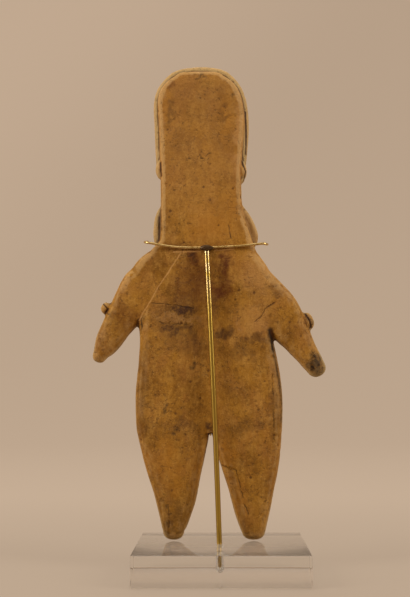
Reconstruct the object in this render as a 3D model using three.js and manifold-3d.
// A flat fired-clay figure of the pre-columbian kind, standing on a clear acrylic block. A leaning brass rod,
// a brass cradle behind the neck and a brass prong under the crotch hold it up.
// Millimetres, +Z up. The face looks along -Y, the rod stands behind the figure, on its +Y side.
// The origin is the middle of the block's underside. Left and right in the names are the figure's own.

import * as THREE from 'three';
import { mergeVertices } from 'three/addons/utils/BufferGeometryUtils.js';
import Module from 'manifold-3d';

const wasm = await Module();
wasm.setup();

// Driving dimensions: the figure
const figureHeight = 302;
const headThickness = 12;
const bodyThickness = 15;
const headEdgeRound = 3;
const bodyEdgeRound = 6;
const neckLedge = 0.8;
const hairRollRadius = 3.6;
const collarRadius = 2.5;
const armbandRadius = 2.4;
const beadDepth = 3.8;
const earDepth = 4.2;
const noseDepth = 4.6;
const eyeAndMouthDepth = 2.1;

// Driving dimensions: the mount
const blockWidth = 102;
const blockDepth = 76;
const blockHeight = 18;
const blockChamfer = 0.4;
const rodDiameter = 3.2;
const rodSetback = 1.2;
const rodFootOffset = 1.1;
const blockFloorUnderRod = 6;
const cradleWireDiameter = 1.6;
const cradleEndLength = 19;
const prongDiameter = 1.2;
const cradleBendLength = 2.4;
const solderLength = 8.4;
const solderCover = 1.4;
const prongOverhang = 3.8;
const prongTurnUp = 4;

// Clearances between pieces that touch
const touchGap = 0.3;
const rodToBack = 2.2;
const cradleLeftGap = 2.0;
const cradleRightGap = 4.0;

// Places that follow from the sizes above
const rodRadius = rodDiameter / 2;
const wireRadius = cradleWireDiameter / 2;
const prongRadius = prongDiameter / 2;
const solderRadius = wireRadius + solderCover;
const feetZ = blockHeight + touchGap;
const bodyBackY = rodSetback - rodRadius - rodToBack;
const headBackY = bodyBackY - neckLedge;
const headFrontY = headBackY - headThickness;
const bodyFrontY = bodyBackY - bodyThickness;

// The figure's proportions are percents of its height, from the block's middle line and from the feet
const share = (percent) => (percent / 100) * figureHeight;
const across = (percent) => share(percent);
const up = (percent) => feetZ + share(percent);

// The prong passes through the cleft above the legs, so the cleft is as wide as the prong needs
const crotch = { across: 2.05, up: 21.7 };
const cleftHalf = ((prongRadius + touchGap) / figureHeight) * 100;

// Each station of a carved piece: left edge (across, up), right edge (across, up), share of the thickness
const level = (height, left, right, thick = 1) => [left, height, right, height, thick];

const headStations = [
  level(58.0, 15.9, -8.3, 0.92),
  level(60.2, 14.0, -7.5, 0.96),
  level(62.0, 12.6, -6.9),
  level(68.2, 12.5, -5.1),
  level(77.1, 12.5, -4.8),
  level(88.4, 13.0, -5.6),
  level(92.5, 13.1, -5.1),
  level(94.7, 12.5, -4.3, 0.97),
  level(96.4, 11.2, -2.95, 0.92),
  level(97.6, 9.5, -1.1, 0.84),
];
const torsoStations = [
  level(59.4, 15.0, -7.8, 0.9),
  level(57.8, 17.0, -9.0, 0.96),
  level(54.9, 18.8, -10.6),
  level(48.6, 17.9, -10.9),
  level(42.3, 16.9, -10.9),
  level(35.4, 17.1, -12.2),
  level(28.7, 17.7, -12.9),
  level(crotch.up, 17.35, -12.7),
];
const leftArmStations = [
  [16.35, 57.35, 13.3, 48.6, 0.985],
  [19.75, 54.8, 16.6, 46.3, 0.98],
  [22.4, 49.8, 17.2, 44.0, 0.92],
  [24.4, 45.2, 19.1, 41.7, 0.84],
  [25.9, 41.5, 21.6, 38.5, 0.72],
  [26.5, 38.3, 23.7, 36.9, 0.56],
];
const rightArmStations = [
  [-9.1, 56.8, -6.6, 46.3, 0.985],
  [-12.8, 52.8, -9.9, 43.7, 0.98],
  [-15.9, 49.3, -11.1, 41.2, 0.92],
  [-18.1, 44.6, -13.9, 38.55, 0.84],
  [-19.9, 39.8, -16.8, 35.4, 0.72],
  [-21.75, 36.0, -18.1, 33.85, 0.58],
];
const leftLegStations = [
  level(24.4, 17.5, crotch.across + cleftHalf / 2, 0.985),
  level(21.4, 17.2, crotch.across + cleftHalf, 0.98),
  level(16.1, 16.0, 3.4, 0.93),
  level(12.8, 15.0, 4.1, 0.88),
  level(7.9, 13.45, 5.05, 0.8),
  level(2.9, 12.25, 6.8, 0.66),
  level(1.5, 11.9, 7.5, 0.6),
];
const rightLegStations = [
  level(24.4, crotch.across - cleftHalf / 2, -12.75, 0.985),
  level(21.4, crotch.across - cleftHalf, -12.65, 0.98),
  level(15.6, 0.2, -12.1, 0.93),
  level(10.5, -1.4, -11.1, 0.86),
  level(4.7, -2.95, -9.8, 0.7),
  level(1.4, -4.2, -9.0, 0.6),
];

// Where the mount meets the figure, in the same percents
const cradleHeight = 60.0;
const cradleRise = 1.25;
const rodTopAcross = 2.6;

// Turns a three.js geometry into a solid that can be joined and cut
function solidOf(geometry) {
  const bare = geometry.clone();
  bare.deleteAttribute('normal');
  bare.deleteAttribute('uv');
  const merged = mergeVertices(bare, 1e-4);
  const vertProperties = new Float32Array(merged.attributes.position.array);
  const triVerts = new Uint32Array(merged.index.array);
  return new wasm.Manifold(new wasm.Mesh({ numProp: 3, vertProperties, triVerts }));
}

function geometryOf(solid) {
  const { vertProperties, triVerts } = solid.getMesh();
  const geometry = new THREE.BufferGeometry();
  geometry.setAttribute('position', new THREE.BufferAttribute(vertProperties, 3));
  geometry.setIndex(new THREE.BufferAttribute(triVerts, 1));
  geometry.computeVertexNormals();
  return geometry;
}

// The section of a carved piece: flat front and back, and a half ellipse down each side
function sectionRing(left, right, frontY, backY, edgeRound, shrink) {
  const stepsPerSide = 6;
  const middle = left.clone().add(right).multiplyScalar(0.5);
  const half = left.clone().sub(right).multiplyScalar(0.5 * shrink);
  const halfWidth = half.length();
  const along = half.clone().normalize();
  const round = Math.min(edgeRound, halfWidth);
  const centreY = (frontY + backY) / 2;
  const halfThick = (Math.abs(frontY - backY) / 2) * shrink;
  const ring = [];
  for (const side of [1, -1]) {
    for (let step = 0; step <= stepsPerSide; step += 1) {
      const angle = side * (Math.PI / 2 - (Math.PI * step) / stepsPerSide);
      const reach = side * (halfWidth - round + round * Math.cos(angle));
      const point = middle.clone().addScaledVector(along, reach);
      ring.push(new THREE.Vector3(point.x, centreY + halfThick * Math.sin(angle), point.z));
    }
  }
  return ring;
}

// A closed body through a row of rings, with a flat face at the first ring and a point past the last one
function skinOf(rings, endPoint) {
  const count = rings[0].length;
  const startPoint = rings[0].reduce((sum, point) => sum.add(point), new THREE.Vector3()).divideScalar(count);
  const firstSpoke = rings[0][0].clone().sub(startPoint);
  const turn = rings[0][1].clone().sub(startPoint).cross(firstSpoke);
  const facesOut = turn.dot(endPoint.clone().sub(startPoint)) < 0;
  const points = [startPoint, ...rings.flatMap((ring) => (facesOut ? ring : ring.toReversed())), endPoint];
  const index = [];
  for (let side = 0; side < count; side += 1) {
    const next = (side + 1) % count;
    index.push(0, 1 + next, 1 + side);
    for (let ring = 0; ring + 1 < rings.length; ring += 1) {
      const near = 1 + ring * count;
      const far = near + count;
      index.push(near + side, near + next, far + next, near + side, far + next, far + side);
    }
    const last = 1 + (rings.length - 1) * count;
    index.push(last + side, last + next, points.length - 1);
  }
  const geometry = new THREE.BufferGeometry().setFromPoints(points);
  geometry.setIndex(index);
  return geometry;
}

// A flat carved piece between two edge curves. It starts with a flat face and ends in a dome.
function carve(stations, { thickness, backY, edgeRound, domeLength }) {
  const ringsPerStation = 3;
  const domeSteps = 5;
  const domeBluntness = 0.8;
  const leftEdge = new THREE.CatmullRomCurve3(
    stations.map(([x, z, , , thick]) => new THREE.Vector3(across(x), thick * thickness, up(z))),
  );
  const rightEdge = new THREE.CatmullRomCurve3(
    stations.map(([, , x, z, thick]) => new THREE.Vector3(across(x), thick * thickness, up(z))),
  );
  const flat = (point) => new THREE.Vector3(point.x, 0, point.z);
  const rings = [];
  const ringCount = (stations.length - 1) * ringsPerStation;
  const middleY = backY - thickness / 2;
  const ringAt = (left, right, thick, shrink) => (
    sectionRing(left, right, middleY - thick / 2, middleY + thick / 2, edgeRound, shrink)
  );
  for (let step = 0; step <= ringCount; step += 1) {
    const left = leftEdge.getPoint(step / ringCount);
    const right = rightEdge.getPoint(step / ringCount);
    rings.push(ringAt(flat(left), flat(right), left.y, 1));
  }
  const lastLeft = flat(leftEdge.getPoint(1));
  const lastRight = flat(rightEdge.getPoint(1));
  const lastThick = leftEdge.getPoint(1).y;
  const width = lastLeft.clone().sub(lastRight).normalize();
  const outward = new THREE.Vector3(width.z, 0, -width.x);
  const before = flat(leftEdge.getPoint(0.9)).add(flat(rightEdge.getPoint(0.9))).multiplyScalar(0.5);
  const lastMiddle = lastLeft.clone().add(lastRight).multiplyScalar(0.5);
  if (outward.dot(lastMiddle.clone().sub(before)) < 0) outward.negate();
  for (let step = 1; step < domeSteps; step += 1) {
    const angle = (Math.PI / 2) * (step / domeSteps);
    const shift = outward.clone().multiplyScalar(domeLength * Math.sin(angle));
    const shrink = Math.cos(angle) ** domeBluntness;
    rings.push(ringAt(lastLeft.clone().add(shift), lastRight.clone().add(shift), lastThick, shrink));
  }
  const endPoint = lastMiddle.clone().addScaledVector(outward, domeLength).setY(middleY);
  return solidOf(skinOf(rings, endPoint));
}

// A round bar along a smooth path
function bar(points, radius, sides, steps) {
  const path = new THREE.CatmullRomCurve3(points);
  const section = new THREE.Shape();
  section.absarc(0, 0, radius, 0, Math.PI * 2);
  const options = { extrudePath: path, steps, curveSegments: sides / 2, bevelEnabled: false };
  return solidOf(new THREE.ExtrudeGeometry(section, options));
}

// A rounded pellet of clay or solder, stretched along its three axes and tilted in the figure's plane
function pellet(centre, radii, tilt = 0, detail = 12) {
  const geometry = new THREE.SphereGeometry(1, detail, Math.round(detail / 2));
  geometry.scale(radii.x, radii.y, radii.z);
  geometry.rotateY(tilt);
  geometry.translate(centre.x, centre.y, centre.z);
  return solidOf(geometry);
}

const at = (x, y, z) => new THREE.Vector3(across(x), y, up(z));
const sizes = (x, y, z) => new THREE.Vector3(x, y, z);

function headSlab() {
  return carve(headStations, {
    thickness: headThickness,
    backY: headBackY,
    edgeRound: headEdgeRound,
    domeLength: share(1.1),
  });
}

// The roll of hair follows the head's edge round the front, and shows past it from behind
function hairRoll() {
  const rollY = headFrontY + hairRollRadius / 3;
  const rollReach = share(1.0);
  const inset = hairRollRadius - rollReach;
  const crown = headStations.slice(4);
  const lift = (index) => 0.9 * rollReach * (Math.max(0, index - 1) / (crown.length - 2)) ** 2;
  const leftSide = crown.map(([x, z], index) => sizes(across(x) - inset, rollY, up(z) + lift(index)));
  const rightSide = crown.map(([, , x, z], index) => sizes(across(x) + inset, rollY, up(z) + lift(index)));
  const crownTop = at(4.1, rollY, 99.3);
  return bar([...leftSide, crownTop, ...rightSide.reverse()], hairRollRadius, 12, 40);
}

function earOrnaments() {
  const earY = headFrontY + earDepth;
  const beadRadii = sizes(share(0.75), beadDepth * 0.7, share(1.25));
  return [
    pellet(at(12.3, earY, 77.4), sizes(share(1.35), earDepth, share(2.3))),
    pellet(at(-4.4, earY, 76.8), sizes(share(1.65), earDepth, share(2.9))),
    pellet(at(12.7, earY - earDepth * 0.8, 77.2), beadRadii),
    pellet(at(-5.2, earY + earDepth * 0.6, 76.6), beadRadii),
  ];
}

// A plain face: a long nose, two slanting eyes and a mouth, laid on as pellets
function face() {
  const faceMiddle = 3.9;
  const eyeSpread = 3.7;
  const eyeTilt = 0.2;
  const eyeRadii = sizes(share(2.0), eyeAndMouthDepth, share(0.9));
  return [
    pellet(at(faceMiddle, headFrontY, 80.6), sizes(share(1.1), noseDepth, share(4.2))),
    pellet(at(faceMiddle + eyeSpread, headFrontY, 82.4), eyeRadii, -eyeTilt),
    pellet(at(faceMiddle - eyeSpread, headFrontY, 82.4), eyeRadii, eyeTilt),
    pellet(at(faceMiddle, headFrontY, 74.4), sizes(share(2.1), eyeAndMouthDepth, share(0.75))),
  ];
}

// The collar hangs beside the neck and runs across the chest
function collar() {
  const besideY = headFrontY + collarRadius * 1.2;
  const chestY = bodyFrontY;
  const path = [
    at(12.0, besideY, 69.0),
    at(12.95, besideY, 67.4),
    at(13.1, besideY, 61.8),
    at(11.2, chestY, 58.0),
    at(4.0, chestY, 55.6),
    at(-4.2, chestY, 58.4),
    at(-7.5, besideY, 62.0),
    at(-6.9, besideY, 65.0),
    at(-5.6, besideY, 67.5),
    at(-4.4, besideY, 69.0),
  ];
  return bar(path, collarRadius, 10, 36);
}

// Each armband crosses the front of the arm and ends in a pellet on its outer edge
function armband(outer, inner, nubRadii, nubTilt) {
  const sideY = bodyBackY - bodyThickness * 0.45;
  const frontY = bodyFrontY + armbandRadius * 0.4;
  const between = (part, y) => (
    at(outer.across + (inner.across - outer.across) * part, y, outer.up + (inner.up - outer.up) * part)
  );
  const path = [
    between(0, sideY),
    between(0.06, frontY + armbandRadius * 0.75),
    between(0.3, frontY),
    between(0.75, frontY),
    between(1, frontY + armbandRadius * 1.6),
  ];
  return [
    bar(path, armbandRadius, 10, 16),
    pellet(between(0, sideY), nubRadii, nubTilt),
  ];
}

function statuette() {
  const body = { thickness: bodyThickness, backY: bodyBackY, edgeRound: bodyEdgeRound };
  const pieces = [
    headSlab(),
    hairRoll(),
    ...earOrnaments(),
    ...face(),
    collar(),
    carve(torsoStations, { ...body, domeLength: share(0.02) }),
    carve(leftArmStations, { ...body, domeLength: share(1.6) }),
    carve(rightArmStations, { ...body, domeLength: share(2.0) }),
    carve(leftLegStations, { ...body, domeLength: share(1.5) }),
    carve(rightLegStations, { ...body, domeLength: share(1.4) }),
    ...armband(
      { across: 23.9, up: 47.5 },
      { across: 19.0, up: 45.0 },
      sizes(share(1.2), beadDepth, share(1.35)),
      0,
    ),
    ...armband(
      { across: -18.5, up: 44.6 },
      { across: -13.6, up: 42.4 },
      sizes(share(1.2), beadDepth, share(1.95)),
      0.35,
    ),
  ];
  return pieces.reduce((whole, piece) => whole.add(piece));
}

// How far the figure reaches to each side and to the back between two heights
function reachBetween(figure, bottomZ, topZ) {
  const wide = 2 * figureHeight;
  const layer = new THREE.BoxGeometry(wide, wide, topZ - bottomZ);
  layer.translate(0, 0, (bottomZ + topZ) / 2);
  const { min, max } = figure.intersect(solidOf(layer)).boundingBox();
  return { left: max[0], right: min[0], back: max[1] };
}

// The rod leans, so its top stands further to the left than its foot
const rodTopZ = up(cradleHeight) - wireRadius - solderRadius - touchGap;
const rodLean = Math.atan2(across(rodTopAcross) - rodFootOffset, rodTopZ - blockHeight);
const rodAcrossAt = (z) => rodFootOffset + (z - blockHeight) * Math.tan(rodLean);

function rodAlong(bottomZ, topZ, radius) {
  const length = (topZ - bottomZ) / Math.cos(rodLean);
  const geometry = new THREE.CylinderGeometry(radius, radius, length, 24);
  geometry.rotateX(Math.PI / 2);
  geometry.translate(0, 0, length / 2 + (bottomZ - blockHeight) / Math.cos(rodLean));
  geometry.rotateY(rodLean);
  geometry.translate(rodFootOffset, rodSetback, blockHeight);
  return geometry;
}

function baseBlock() {
  const halfWidth = blockWidth / 2 - blockChamfer;
  const halfDepth = blockDepth / 2 - blockChamfer;
  const outline = new THREE.Shape();
  outline.moveTo(-halfWidth, -halfDepth);
  outline.lineTo(halfWidth, -halfDepth);
  outline.lineTo(halfWidth, halfDepth);
  outline.lineTo(-halfWidth, halfDepth);
  outline.closePath();
  const block = new THREE.ExtrudeGeometry(outline, {
    depth: blockHeight - 2 * blockChamfer,
    bevelThickness: blockChamfer,
    bevelSize: blockChamfer,
    bevelSegments: 1,
  });
  block.translate(0, 0, blockChamfer);
  const hole = rodAlong(blockFloorUnderRod, blockHeight + rodDiameter, rodRadius + touchGap);
  return geometryOf(solidOf(block).subtract(solidOf(hole)));
}

function uprightRod() {
  return rodAlong(blockFloorUnderRod + touchGap, rodTopZ, rodRadius);
}

// The wire lies across the back of the neck, and both its ends bend forward past the shoulders
function neckCradle(figure) {
  const aroundWire = wireRadius + touchGap;
  const bottomZ = up(cradleHeight) - aroundWire;
  const topZ = up(cradleHeight + cradleRise) + aroundWire;
  const reach = reachBetween(figure, bottomZ, topZ);
  const leftX = reach.left + cradleLeftGap + wireRadius;
  const rightX = reach.right - cradleRightGap - wireRadius;
  const wireY = reach.back + aroundWire;
  const endY = wireY - cradleEndLength;
  const cornerY = wireY - cradleBendLength;
  const rising = (part) => up(cradleHeight + cradleRise * part);
  const path = [
    sizes(leftX, endY, rising(1.9)),
    sizes(leftX, cornerY, rising(1)),
    sizes(leftX - cradleBendLength, wireY, rising(0.8)),
    sizes(0.55 * leftX, wireY, rising(0)),
    sizes(0.35 * rightX, wireY, rising(0.1)),
    sizes(rightX + cradleBendLength, wireY, rising(0.5)),
    sizes(rightX, cornerY, rising(0.5)),
    sizes(rightX, endY, rising(1.3)),
  ];
  const wire = bar(path, wireRadius, 12, 48);
  const joint = pellet(
    sizes(across(rodTopAcross), wireY + solderRadius - wireRadius, up(cradleHeight) - wireRadius),
    sizes(solderLength / 2, solderRadius, solderRadius),
  );
  return geometryOf(wire.add(joint));
}

// The prong is fixed beside the rod, runs forward under the crotch and turns up past the front
function crotchProng() {
  const z = up(crotch.up) - touchGap - prongRadius;
  const cleftX = across(crotch.across);
  const besideRodX = rodAcrossAt(z) + rodRadius + touchGap + prongRadius;
  const tipY = bodyFrontY - prongOverhang;
  const path = [
    sizes(besideRodX, rodSetback + rodRadius, z),
    sizes(besideRodX, rodSetback - rodRadius, z),
    sizes(cleftX, bodyBackY, z),
    sizes(cleftX, bodyFrontY, z),
    sizes(cleftX, tipY + prongDiameter, z + prongDiameter / 3),
    sizes(cleftX, tipY, z + prongTurnUp),
  ];
  return geometryOf(bar(path, prongRadius, 12, 20));
}

const materials = {
  clay: new THREE.MeshStandardMaterial({ color: '#8c6030', roughness: 0.85, metalness: 0 }),
  brass: new THREE.MeshStandardMaterial({ color: '#c09a50', roughness: 0.25, metalness: 1 }),
  acrylic: new THREE.MeshStandardMaterial({
    color: '#e8ecea',
    roughness: 0.05,
    metalness: 0,
    transparent: true,
    opacity: 0.25,
  }),
};

const figure = statuette();
const group = new THREE.Group();
const pieces = [
  ['statuette', geometryOf(figure), materials.clay],
  ['upright_rod', uprightRod(), materials.brass],
  ['neck_cradle', neckCradle(figure), materials.brass],
  ['crotch_prong', crotchProng(), materials.brass],
  ['base_block', baseBlock(), materials.acrylic],
];
for (const [name, geometry, material] of pieces) {
  const mesh = new THREE.Mesh(geometry, material);
  mesh.name = name;
  group.add(mesh);
}

export default group;
